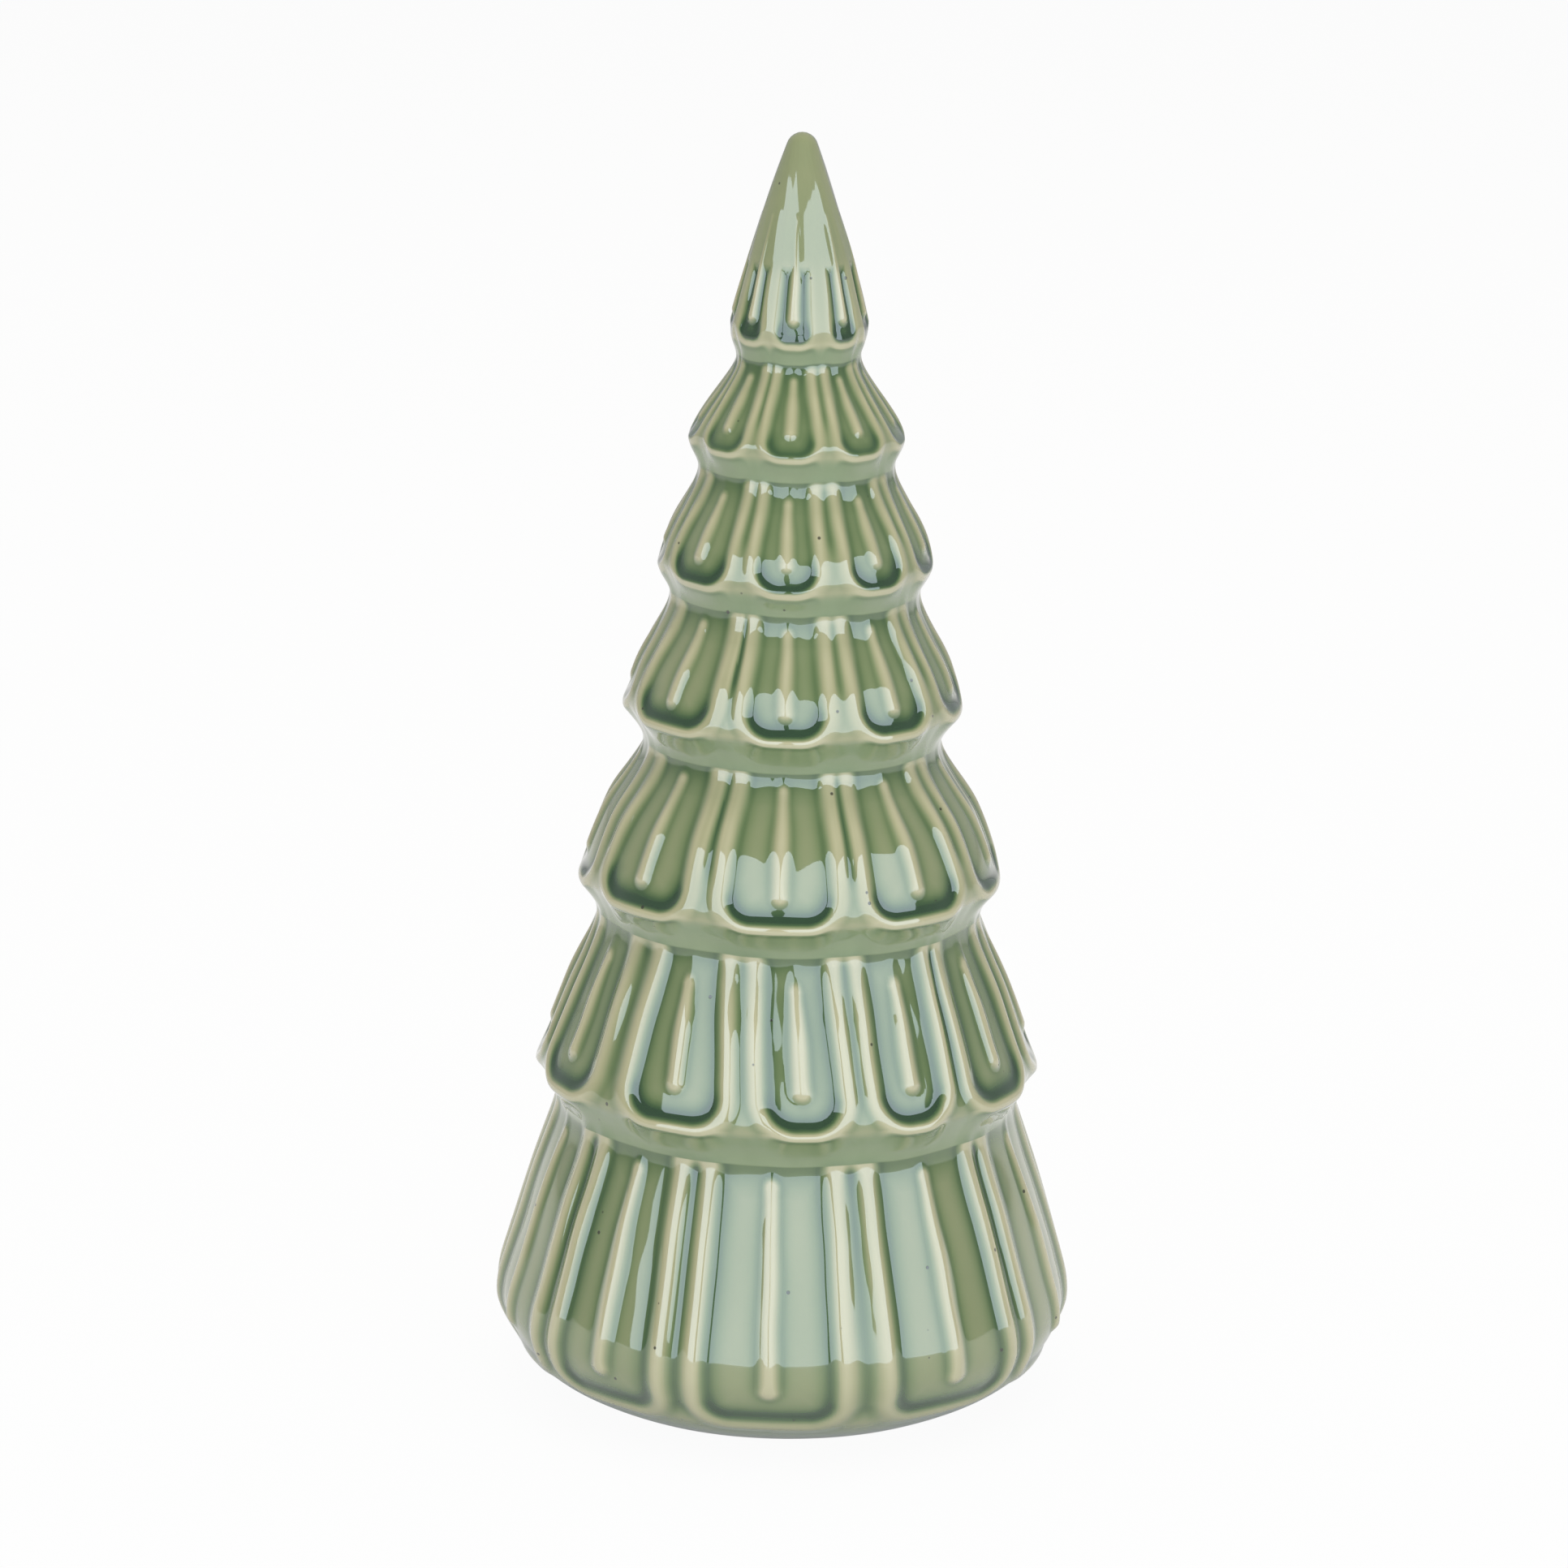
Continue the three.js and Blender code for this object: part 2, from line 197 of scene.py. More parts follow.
# Tiers from the top down, as in the solid.
# lip, waist: radius and height of the lip's crest and of the narrow place under the tier
# bulge: how far the slope bulges, as a share of its length
# neck: how far the slope's upper part is drawn in
# belly_height, foot_gap: height at which the lowest tier turns in to its foot, and the length of
#   slope below its leaves
# bead: height of the ridges over the panels
# flank, corner: width of a leg's inner flank and corner radius of the U
# leg_top, start: how far down the legs begin, and the share of their full height that the ridges
#   have at the tier's top
# pillow: how high a panel swells towards its middle, as a share of the ridges
# rib, rib_share: half width of the rib and its height as a share of the legs'
# rib_top, rib_gap: how far down the rib begins, and the space between its end and the lip's crest
# grooves: after each leaf in turn, the depth of the groove beside it as a share of the ridges, its
#   middle from -1 to 1 across the gap and its half width; the last one goes on round the back
# groove_end: how far above the lip the groove fills up, and the share of its depth kept there
# pooling, side_pool: strength of the dark glaze above the U's bottom, and its share along the legs
# leaves, front: number of leaves, and the edges in degrees of the measured ones at the lip and,
#   where they slant, at the tier's top
TIERS = [
    dict(
        lip=(13.7, 200.9), waist=(10.6, 197.8), bulge=0.03, neck=0,
        bead=0.65, flank=2.2, corner=3.3, leg_top=28.5, start=1, pillow=0,
        rib=2.0, rib_share=1.25, rib_top=17, rib_gap=5.0,
        leaves=9,
        front=[(-63, -30), (-22.5, 13.5, -25, 13.5), (25, 58), (66, 97)],
    ),
    dict(
        lip=(21.0, 181.6), waist=(17.4, 177.4), bulge=0.035, neck=0.6,
        bead=0.62, flank=2.1, corner=4.3, leg_top=1.5, start=0.5, pillow=0.12,
        rib=1.9, rib_share=0.8, rib_top=3, rib_gap=5.2,
        grooves=[(0.55, 0, 1), (0.55, 0, 1), (0.5, 0, 1)], groove_end=(3, 0.5),
        pooling=0.5, leaves=9,
        front=[(-62, -29), (-20.3, 12.7), (22.3, 54.5), (63, 95)],
    ),
    dict(
        lip=(26.4, 157.5), waist=(22.6, 153.7), bulge=0.089, neck=0.8,
        bead=0.76, flank=2.4, corner=5.6, leg_top=1.3, start=0.5, pillow=0.14,
        rib=2.1, rib_share=0.8, rib_top=3.5, rib_gap=5.6,
        grooves=[(0.55, 0, 1), (0.6, 0, 1), (0.5, 0, 1)], groove_end=(5, 0.5),
        leaves=9,
        front=[(-65, -28.5, -61, -27), (-19, 12, -19.5, 11), (22.3, 54.5, 21, 51), (62, 94, 60, 91)],
    ),
    dict(
        lip=(32.4, 131.6), waist=(27.1, 125.3), bulge=0.058, neck=0.9,
        bead=0.9, flank=2.9, corner=6.2, leg_top=1.3, start=0.5, pillow=0.14,
        rib=2.4, rib_share=0.8, rib_top=3, rib_gap=5.2,
        grooves=[(0.6, 0.2, 0.7), (0.45, 0, 0.9), (0.5, 0, 1)], groove_end=(5.5, 0.5),
        leaves=9,
        front=[(-69, -28, -62, -26), (-18.5, 13.7, -19, 13.5), (22.7, 55, 20.5, 50.5), (62, 95, 59, 91)],
    ),
    dict(
        lip=(40.4, 98.6), waist=(35.4, 92.8), bulge=0.098, neck=1,
        bead=1, flank=3, corner=6.6, leg_top=1.3, start=0.5, pillow=0.14,
        rib=2.6, rib_share=0.85, rib_top=3, rib_gap=5.8,
        grooves=[(0.6, 0.1, 0.7), (0.55, 0, 0.8), (0.5, 0, 1)], groove_end=(5.5, 0.5),
        leaves=9,
        front=[(-64, -29, -59.5, -28.5), (-20, 14.3, -19.3, 14.2), (21.3, 56.3, 20.5, 51.5),
               (62.5, 96, 59, 93)],
    ),
    dict(
        lip=(48.4, 61.8), waist=(42.9, 55.3), bulge=0.009, neck=0.3,
        bead=1.05, flank=3.4, corner=7.6, leg_top=1.3, start=0.7, pillow=0.1,
        rib=2.7, rib_share=1, rib_top=5, rib_gap=8.0,
        grooves=[(0.75, 0, 1), (0.6, 0, 1), (0.6, 0, 1), (0.75, 0, 1)], groove_end=(2.5, 0.9),
        side_pool=0.35, leaves=12,
        front=[(-76, -50.3, -74, -50.5), (-41.2, -12.5, -40.5, -17.3), (-6.3, 15.2, -10, 13.3),
               (20.8, 41.2, 19.3, 43.7), (47, 74, 48, 72)],
    ),
    dict(
        lip=(55.3, 19.0), waist=(FOOT_RADIUS, 0.0), bulge=0.016, neck=0.15,
        belly_height=6.1, foot_gap=16,
        bead=1.15, flank=3.7, corner=6.4, leg_top=1.3, start=0.8, pillow=0.1,
        rib=3, rib_share=1, rib_top=3.5, rib_gap=8.5,
        grooves=[(0.85, 0, 1)], groove_end=(0, 0.3),
        pooling=0.8, side_pool=0.45, leaves=10,
        front=[(-86, -59, -83, -57), (-52.5, -24.7, -50.5, -25.5), (-17.6, 13, -18.3, 12.3),
               (22, 53, 19.8, 50.5), (59.5, 90, 56.5, 87)],
    ),
]

rng = np.random.default_rng(SEED)
theta = np.linspace(-180, 180, COLUMNS, endpoint=False)


def smoothstep(share):
    """Rises from 0 to 1 as the share does, level at both ends."""
    share = np.clip(share, 0, 1)
    return share * share * (3 - 2 * share)


def crest(distance, width):
    """Share of the full height at a distance from a ridge's crest line, down to its foot."""
    return np.cos(np.clip(np.abs(distance) / width, 0, 1) * math.pi / 2) ** 2


def highest(a, b, soft=0.08):
    """The larger of two heights, with the crease between them softened."""
    return (a + b + np.sqrt((a - b) ** 2 + soft**2)) / 2 - soft / 2


def bezier(start, pull, end, count=60):
    """Points of a curve from start to end, drawn towards a third point."""
    t = np.linspace(0, 1, count)[:, None]
    return (1 - t) ** 2 * np.array(start) + 2 * t * (1 - t) * np.array(pull) + t**2 * np.array(end)


def arc_lengths(line):
    """Distance along a polyline at each of its points."""
    return np.concatenate([[0], np.cumsum(np.linalg.norm(np.diff(line, axis=0), axis=-1))])


def outward(line):
    """Unit normals of a polyline of radius and height that runs downwards."""
    along = np.gradient(line, axis=0)
    along /= np.linalg.norm(along, axis=-1, keepdims=True)
    return np.stack([-along[..., 1], along[..., 0]], axis=-1)


def leaf_edges(tier, share):
    """Edges in degrees of each row's leaves, at shares of the way down: measured ones, then even ones."""
    front = [leaf if len(leaf) == 4 else leaf + leaf for leaf in tier["front"]]
    missing = tier["leaves"] - len(front)
    last = front[-1][1]
    gap = front[-1][0] - front[-2][1]
    span = (front[0][0] + 360 - last - gap * (missing + 1)) / missing
    starts = [last + gap + i * (span + gap) for i in range(missing)]
    edges = np.array(front + [(start, start + span) * 2 for start in starts])
    low, high = edges[None, :, :2], edges[None, :, 2:]
    return high + (low - high) * share[:, None, None]


def slope_line(start, lip, tier):
    """The slope from a tier's top to its lip, with its bulge and the neck at its top."""
    out = np.array([start[1] - lip[1], lip[0] - start[0]]) * tier["bulge"]
    line = bezier(start, (start + lip) / 2 + out, lip)
    share = np.clip(arc_lengths(line) / NECK_LENGTH, 0, 1)
    line[:, 0] -= tier["neck"] * NECK_PEAK * share * (1 - share) ** 2
    return line


def panel_line(tier, above):
    """The panels' surface as radius and height, down to the lip or, on the lowest tier, the foot."""
    lip = np.array(tier["lip"])
    if above is None:
        centre = TIP_HEIGHT - TIP_RADIUS
        lean = math.atan2(lip[0] - TIP_RADIUS, centre - lip[1])
        turn = np.linspace(math.pi / 2, lean, 40)[1:]
        tip = np.stack([TIP_RADIUS * np.cos(turn), centre + TIP_RADIUS * np.sin(turn)], 1)
        return np.concatenate([tip, slope_line(tip[-1], lip, tier)[1:]])
    start = np.array(above["waist"])
    sunk = lip - tier["bead"] * outward(slope_line(start, lip, tier))[-1]
    line = slope_line(start, sunk, tier)
    if "belly_height" in tier:
        belly = bezier(sunk, (sunk[0], tier["belly_height"]), tier["waist"])
        line = np.concatenate([line, belly[1:]])
    return line


def spaced(start, stop, step):
    """Even distances from start up to, but not including, stop."""
    return np.linspace(start, stop, max(1, round((stop - start) / step)), endpoint=False)


def nearest_leaf(edges):
    """At each point: angle from its leaf's middle, the half span, the leaf and half the gap beside it."""
    start, stop = edges[:, :, 0], edges[:, :, 1]
    middle, half = (start + stop) / 2, (stop - start) / 2
    after = ((np.roll(start, -1, axis=1) - stop) % 360) / 2
    before = np.roll(after, 1, axis=1)
    offsets = (theta - middle[:, :, None] + 180) % 360 - 180
    leaf = np.argmin(np.abs(offsets) - half[:, :, None], axis=1)
    offset = np.take_along_axis(offsets, leaf[:, None], axis=1)[:, 0]
    half, after, before = (np.take_along_axis(values, leaf, axis=1) for values in (half, after, before))
    return offset, half, leaf, np.where(offset > 0, after, before)


def smoothed_round(values, radius, sigma):
    """Values of one ring, blurred over a distance of sigma millimetres."""
    turns = np.fft.rfftfreq(COLUMNS, 1 / COLUMNS)
    return np.fft.irfft(np.fft.rfft(values) * np.exp(-0.5 * (turns * sigma / radius) ** 2), n=COLUMNS)


def lip_rise(tier, offset, half, radius):
    """How far up the slope the lip runs at each column: round the corner of its U and to the gap."""
    across = np.abs(offset) * math.pi / 180 * radius - (half * math.pi / 180 * radius - tier["corner"])
    across = np.clip(across, 0, tier["corner"])
    rise = tier["corner"] - np.sqrt(tier["corner"] ** 2 - across**2)
    return smoothed_round(GAP_RISE * (1 - np.exp(-((rise / GAP_RISE) ** 1.5))), radius, GAP_RISE_BLUR)


def tier_rows(tier, length, last):
    """Distances of the rows down the slope, closer together where the relief turns."""
    top = tier["leg_top"] + FINE_BELOW_LEG_TOP
    above_lip = max(tier["rib_gap"] + FINE_ABOVE_RIB_END, tier["corner"] + FINE_ABOVE_CORNER)
    rib_end = length - tier.get("foot_gap", 0) - above_lip
    if tier is TIERS[0]:
        parts = [spaced(0, SMOOTH_TIP_LENGTH, TIP_ROW), spaced(SMOOTH_TIP_LENGTH, rib_end, TOP_TIER_ROW)]
    else:
        parts = [spaced(0, top, FINE_ROW), spaced(top, rib_end, COARSE_ROW)]
    stop = length - FOOT_INSET if last else length
    return np.concatenate([*parts, spaced(rib_end, stop, FINE_ROW), [length]])


def groove_depth(tier, leaf, right_side, across):
    """Depth of the groove beside a leaf, at a share of the half gap out from its leg."""
    grooves = np.array((tier["grooves"] + [tier["grooves"][-1]] * tier["leaves"])[:tier["leaves"]])
    depth, middle, width = np.moveaxis(grooves[np.where(right_side, leaf, leaf - 1)], -1, 0)
    place = np.where(right_side, across - 1, 1 - across)
    return depth * crest(place - middle, width)


def from_crest_line(tier, from_middle, half, down, crest_down):
    """Distance from the line along the crest of a leaf's U, negative inside the leaf, and how far
    down a point is below the start of the U's corners."""
    across = np.abs(from_middle) - (half - tier["corner"])
    below = down - (crest_down - tier["corner"])
    beyond = np.hypot(np.maximum(across, 0), np.maximum(below, 0))
    return beyond + np.minimum(np.maximum(across, below), 0) - tier["corner"], below


def leg_relief(tier, down, signed, below, gap, leaf, right_side, edge_down):
    """Height of the legs, the U's bottom and the ground between two leaves, as a share of the ridges'."""
    flank = tier["flank"]
    above_leg = np.maximum(tier["leg_top"] - down, 0)
    if tier is TIERS[0]:
        closed = smoothstep(above_leg / CHANNEL_CLOSING)
        return np.where(signed > 0, 1, np.maximum(crest(signed, flank), closed))
    stop, kept = tier["groove_end"]
    filled = (1 - kept) * smoothstep((down - edge_down + stop + GROOVE_FILLING) / GROOVE_FILLING)
    open_share = smoothstep((down - GROOVE_START) / GROOVE_OPENING) * (1 - filled)
    groove = 1 - open_share * groove_depth(tier, leaf, right_side, np.clip(signed / gap, 0, 1))
    inner = crest(np.hypot(signed, above_leg), flank)
    legs = np.where(signed > 0, groove * crest(above_leg, flank), inner)
    if "foot_gap" in tier:
        rim = FOOT_RIM + (1 - FOOT_RIM) * crest(signed, flank)
        fallen = smoothstep(below / FOOT_RIM_FALL) * (signed > 0)
        legs = legs + (np.minimum(legs, rim) - legs) * fallen
    return legs


def rib_relief(tier, down, from_rib, crest_down):
    """Height of the rib as a share of the ridges', a little wider and taller further down."""
    top = tier["rib_top"]
    end = crest_down - tier["rib_gap"] - tier["rib"] * RIB_END_INSET
    grown = smoothstep((down - top) / (RIB_GROWTH * (end - top)))
    width = tier["rib"] * (RIB_TOP_WIDTH + (1 - RIB_TOP_WIDTH) * grown)
    height = RIB_TOP_HEIGHT + (1 - RIB_TOP_HEIGHT) * grown
    past_end = np.maximum(np.maximum(top - down, down - end), 0)
    return crest(np.hypot(from_rib, past_end), width) * height


def panel_swell(tier, down, signed, below):
    """Height of the panel between legs and rib as a share of the ridges'."""
    reach = SWELL_REACH + SWELL_EXTRA_REACH * smoothstep((below + SWELL_RISE) / tier["corner"])
    inside = np.clip(-signed / tier["flank"] - SWELL_START, 0, None)
    swell = tier["pillow"] * (1 - np.exp(-((inside / reach) ** 2)))
    return swell * smoothstep((down - SWELL_TOP) / SWELL_GROWTH)


def pooled_glaze_and_shade(tier, down, signed, below, share):
    """Strength of the dark glaze above the U's bottom and along the legs, and at the tier's top, where it
    is partly pooled glaze and partly painted shade under the lip above.
    """
    past_deepest = np.clip(-signed - POOL_DEEPEST * tier["flank"], 0, None)
    begun = smoothstep((-signed / tier["flank"] - POOL_START) / POOL_START)
    side = tier.get("side_pool", 0)
    above_bottom = side + (1 - side) * smoothstep((below + POOL_RISE) / tier["corner"])
    pool_and_shade = np.exp(-((past_deepest / POOL_REACH) ** 2)) * begun * above_bottom * tier.get("pooling", 1)
    if tier is TIERS[0]:
        return pool_and_shade
    # At the tier's top: pooled glaze in the corner, partly painted shade under the lip above
    low = 1 - smoothstep(share / TOP_POOL_AND_SHADE_LIMIT)
    return np.maximum(pool_and_shade, TOP_POOL_AND_SHADE * np.exp(-((down / TOP_POOL_AND_SHADE_REACH) ** 2)) * low)


def leaf_relief(tier, down, from_middle, half, gap, from_rib, leaf, right_side, crest_down, edge_down):
    """Height over the panels as a share of the ridges', the pooled glaze with painted shade at the tier's
    top, and the distance from the U.
    """
    signed, below = from_crest_line(tier, from_middle, half, down, crest_down)
    legs = leg_relief(tier, down, signed, below, gap, leaf, right_side, edge_down)
    rib = rib_relief(tier, down, from_rib, crest_down)
    ground = panel_swell(tier, down, signed, below)
    share = highest(legs, ground + (1 - ground) * tier["rib_share"] * rib)
    return share, pooled_glaze_and_shade(tier, down, signed, below, share), signed


def add_underside(tier, points, marks, outside):
    """A tier's grid and marks, with the band that runs in from its edge to the waist under it."""
    edge, waist = points[-1], np.array(tier["waist"])
    run = np.linalg.norm(edge - waist, axis=1)
    steps = spaced(0, 1, FINE_ROW / run.min())[1:, None]
    band = edge + (waist - edge) * steps[:, :, None]
    inward = np.stack([edge[:, 1] - waist[1], waist[0] - edge[:, 0]], 1) / run[:, None]
    band -= inward * (4 * steps * (1 - steps) * UNDERSIDE_SAG * run)[:, :, None]
    fading = 1 - smoothstep(steps * run / (CREAM_RUN + CREAM_EXTRA_RUN * outside))
    added = dict(
        pool_and_shade=0 * fading,
        share=marks["share"][-1] * fading,
        under=smoothstep(steps * run / BAND_START),
    )
    marks = {key: np.concatenate([marks[key], added[key]]) for key in marks}
    return np.concatenate([points, band]), marks


def tier_grid(tier, above):
    """Points as radius and height of one tier, their marks, the row of its lip and where its edge
    lies between two leaves. Rows run down from its top to its waist."""
    line = panel_line(tier, above)
    table = arc_lengths(line)
    normals = outward(line)
    length = table[-1]
    last = "foot_gap" in tier
    crest_down = length - tier.get("foot_gap", 0)
    rows = tier_rows(tier, length, last)
    offset, half, leaf, gap = nearest_leaf(leaf_edges(tier, np.clip(rows / crest_down, 0, 1)))
    crest_radius = np.interp(crest_down, table, line[:, 0])
    rise = lip_rise(tier, offset[-1], half[-1], crest_radius) * (not last)

    reach = min(GAP_RISE_REACH, length / 2)
    down = rows[:, None] - rise * smoothstep((rows[:, None] - length + reach) / reach)
    base = np.stack([np.interp(down, table, line[:, k]) for k in (0, 1)], axis=-1)
    normal = np.stack([np.interp(down, table, normals[:, k]) for k in (0, 1)], axis=-1)

    degree = math.pi / 180 * base[:, :, 0]
    phase = rng.uniform(0, 2 * math.pi, (3, tier["leaves"]))[:, leaf]
    pace = rng.uniform(*LEG_SWAY_PACE, tier["leaves"])[leaf]
    sway = LEG_SWAY * np.sin(down * pace + phase[0] + np.sign(offset) * LEG_SWAY_SHIFT)
    lean = RIB_LEAN * np.cos(phase[1]) * (down / length - RIB_LEAN_MIDDLE)
    lean = lean + RIB_WOBBLE * np.sin(down * RIB_WOBBLE_PACE + phase[2])
    from_middle = offset * degree + sway
    share, pool_and_shade, signed = leaf_relief(
        tier, down, from_middle, half * degree, gap * degree + GROOVE_MARGIN, from_middle + lean,
        leaf, offset > 0, crest_down, crest_down - rise)

    risen = tier["start"] + (1 - tier["start"]) * smoothstep(down / (crest_down * RISE_SHARE))
    relief = share * risen if above else share - 1
    height = tier["bead"] * relief
    if last:
        height = height * smoothstep((length - down) / FOOT_FADE)
    points = base + normal * height[:, :, None]
    thinned = tier["bead"] * share * (TOP_CREAM + (1 - TOP_CREAM) * risen)
    marks = dict(pool_and_shade=pool_and_shade, share=thinned, under=0 * pool_and_shade)
    if last:
        return points, marks, len(rows) - 1, 0
    outside = smoothstep(signed[-1] / GAP_BLEND)
    points, marks = add_underside(tier, points, marks, outside)
    return points, marks, len(rows) - 1, outside


def rounded(points, centre, passes, reach, where=1.0):
    """The rows round a corner, relaxed so that it turns on a small radius."""
    rows = np.arange(len(points))
    weight = 0.5 * smoothstep((reach - np.abs(rows - centre)) / ROUNDING_FADE)[1:-1, None, None]
    weight = weight * np.broadcast_to(where, COLUMNS)[None, :, None]
    for _ in range(passes):
        middle = (points[:-2] + points[2:]) / 2
        points[1:-1] += (middle - points[1:-1]) * weight
    return points


def outer_skin():
    """The glazed outside, from under the tip to the foot: radius and height, and marks."""
    grids = [tier_grid(tier, TIERS[i - 1] if i else None) for i, tier in enumerate(TIERS)]
    points = np.concatenate([grid[0] for grid in grids])
    start = 0
    for i, (grid, _, corner_row, outside) in enumerate(grids):
        if i:
            points = rounded(points, start, *WAIST_ROUNDING)
        if i < len(grids) - 1:
            points = rounded(points, start + corner_row, *LIP_ROUNDING)
            points = rounded(points, start + corner_row, *GAP_ROUNDING, outside)
        else:
            fold = start + int(np.argmax(grid[:, :, 0].mean(axis=1)))
            points = rounded(points, fold, *BELLY_ROUNDING)
        start += len(grid)
    return points, {key: np.concatenate([grid[1][key] for grid in grids]) for key in grids[0][1]}


def surface_waves(radius, height):
    """Slow and fine unevenness of a hand-finished cast, in millimetres."""
    angle = np.radians(theta)[None, :]
    waves = 0
    for tall, least_turns, most_turns, least_pace, most_pace in (SLOW_WAVES, FINE_WAVES):
        for _ in range(WAVES_OF_A_KIND):
            turns = rng.integers(least_turns, most_turns + 1)
            pace = rng.uniform(least_pace, most_pace)
            waves = waves + tall * np.sin(turns * angle + pace * height + rng.uniform(0, 2 * math.pi))
    return waves * smoothstep(radius / WAVE_FADE_RADIUS) * smoothstep(height / WAVE_FADE_HEIGHT)


def blurred(values, points, sigma):
    """Values on the grid blurred over a distance in millimetres along and round the surface."""
    ring = np.hypot(points[:, :, 0], points[:, :, 1]).mean(axis=1)
    down = arc_lengths(np.stack([ring, points[:, :, 2].mean(axis=1)], 1))
    apart = down[:, None] - down[None, :]
    kernel = np.exp(-(apart**2) / (2 * sigma**2)) * np.gradient(down)[None, :]
    kernel /= kernel.sum(axis=1, keepdims=True)
    frequency = np.fft.rfftfreq(COLUMNS) * 2 * math.pi
    step = ring * 2 * math.pi / COLUMNS
    fade = np.exp(-0.5 * (frequency[None, :] * sigma / np.maximum(step, 0.02)[:, None]) ** 2)
    return kernel @ np.fft.irfft(np.fft.rfft(values, axis=1) * fade, n=COLUMNS, axis=1)


def turned(profile):
    """(rows, columns, 3) points of radius and height pairs, turned round the axis."""
    angle = np.radians(theta)[None, :]
    radius, height = profile[..., 0], profile[..., 1]
    return np.stack([radius * np.sin(angle), -radius * np.cos(angle), height + 0 * angle], axis=-1)


def foot_profile():
    """Foot ring, recess, pour hole and the hollow up to its top, as radius and height."""
    ring_inner = FOOT_RADIUS - FOOT_RING_WIDTH
    floor = RECESS_DEPTH + WALL
    side = TIERS[-1]["lip"][0] - TIERS[-1]["bead"] - WALL
    hole = POUR_HOLE_RADIUS
    points = [
        (FOOT_RADIUS - FOOT_INSET, 0.0), (FOOT_RADIUS - 1.4, 0), (ring_inner + 3, 0),
        (ring_inner + 0.6, 0), (ring_inner + 0.15, 0.15), (ring_inner, 0.6),
        (ring_inner - 0.1, RECESS_DEPTH - 0.4), (ring_inner - 0.5, RECESS_DEPTH),
        (ring_inner - 4, RECESS_DEPTH), (hole + 5, RECESS_DEPTH), (hole + 0.9, RECESS_DEPTH),
        (hole + 0.25, RECESS_DEPTH + 0.25), (hole, RECESS_DEPTH + 0.9),
        (hole, floor - 0.9), (hole + 0.3, floor - 0.25), (hole + 1, floor), (hole + 6, floor),
    ]
    turn = bezier((FOOT_RADIUS - WALL, floor), (side, floor), (side, TIERS[-1]["lip"][1]), 7)
    points += [tuple(point) for point in turn]
    for tier in TIERS[-2:0:-1]:
        points.append((tier["waist"][0] - WALL, tier["waist"][1]))
        points.append((tier["lip"][0] - tier["bead"] - WALL, tier["lip"][1]))
    waist = TIERS[0]["waist"]
    points.append((waist[0] - WALL, waist[1]))
    cone = (waist[0] - TIP_RADIUS) / (TIP_HEIGHT - TIP_RADIUS - waist[1])
    top = waist[1] + (waist[0] - WALL) / cone
    points.append((1.0, top - 1.0 / cone))
    return np.array(points), top


def glaze_thickness(points, share):
    """Glaze over the clay, from its mean: it leaves the crests and fills the hollows."""
    flow = sum(weight * (blurred(share, points, sigma) - share) for sigma, weight in GLAZE_FLOW)
    return np.where(flow < 0, CREST_FLOW * flow, flow)


def body_arrays():
    """Points of the whole body's grid, its marks and the height at which the hollow closes."""
    skin, marks = outer_skin()
    waves = surface_waves(skin[:, :, 0], skin[:, :, 1])
    skin = skin + outward(skin) * waves[:, :, None]
    outer = turned(skin)
    foot, hollow_top = foot_profile()
    inner = turned(np.repeat(foot[:, None, :], COLUMNS, axis=1))
    plain = np.zeros((len(inner), COLUMNS))
    fields = {key: np.concatenate([marks[key], plain]) for key in ("pool_and_shade", "under")}
    fields["thickness"] = np.concatenate([glaze_thickness(outer, marks["share"]), plain])
    bare = smoothstep((GLAZE_LINE - outer[:, :, 2]) / GLAZE_LINE_BLUR)
    fields["bare"] = np.concatenate([bare, plain + 1])
    return np.concatenate([outer, inner]), fields, hollow_top


def mesh_from_grid(name, grid, fields, top, bottom):
    """A closed mesh from a grid of rows, with a point at either end of the axis."""
    rows, columns = grid.shape[:2]
    points = np.concatenate([grid.reshape(-1, 3), [top, bottom]]) * MM
    index = np.arange(rows * columns).reshape(rows, columns)
    right = np.roll(index, -1, axis=1)
    quads = np.stack([index[:-1], index[1:], right[1:], right[:-1]], axis=-1).reshape(-1, 4)
    tips = rows * columns
    upper = np.stack([np.full(columns, tips), index[0], right[0]], 1)
    lower = np.stack([np.full(columns, tips + 1), right[-1], index[-1]], 1)
    mesh = bpy.data.meshes.new(name)
    mesh.vertices.add(len(points))
    mesh.vertices.foreach_set("co", points.astype(np.float32).ravel())
    corners = np.concatenate([quads.ravel(), upper.ravel(), lower.ravel()])
    mesh.loops.add(len(corners))
    mesh.loops.foreach_set("vertex_index", corners.astype(np.int32))
    sizes = np.concatenate([np.full(len(quads), 4), np.full(2 * columns, 3)])
    starts = np.concatenate([[0], np.cumsum(sizes)[:-1]])
    mesh.polygons.add(len(sizes))
    mesh.polygons.foreach_set("loop_start", starts.astype(np.int32))
    mesh.update(calc_edges=True)
    mesh.polygons.foreach_set("use_smooth", np.ones(len(sizes), bool))
    for key, values in fields.items():
        layer = mesh.attributes.new(key, "FLOAT", "POINT")
        layer.data.foreach_set("value", np.concatenate([values.ravel(), [0, 0]]).astype(np.float32))
    add_unwrap(mesh, grid, quads, upper, lower)
    mesh.validate()
    return mesh


def past_seam(column, columns):
    """Column numbers of each face's corners, counted on past the seam instead of back to 0."""
    across = column.astype(float)
    across[(column == 0) & (column.max(axis=1, keepdims=True) == columns - 1)] = columns
    return across


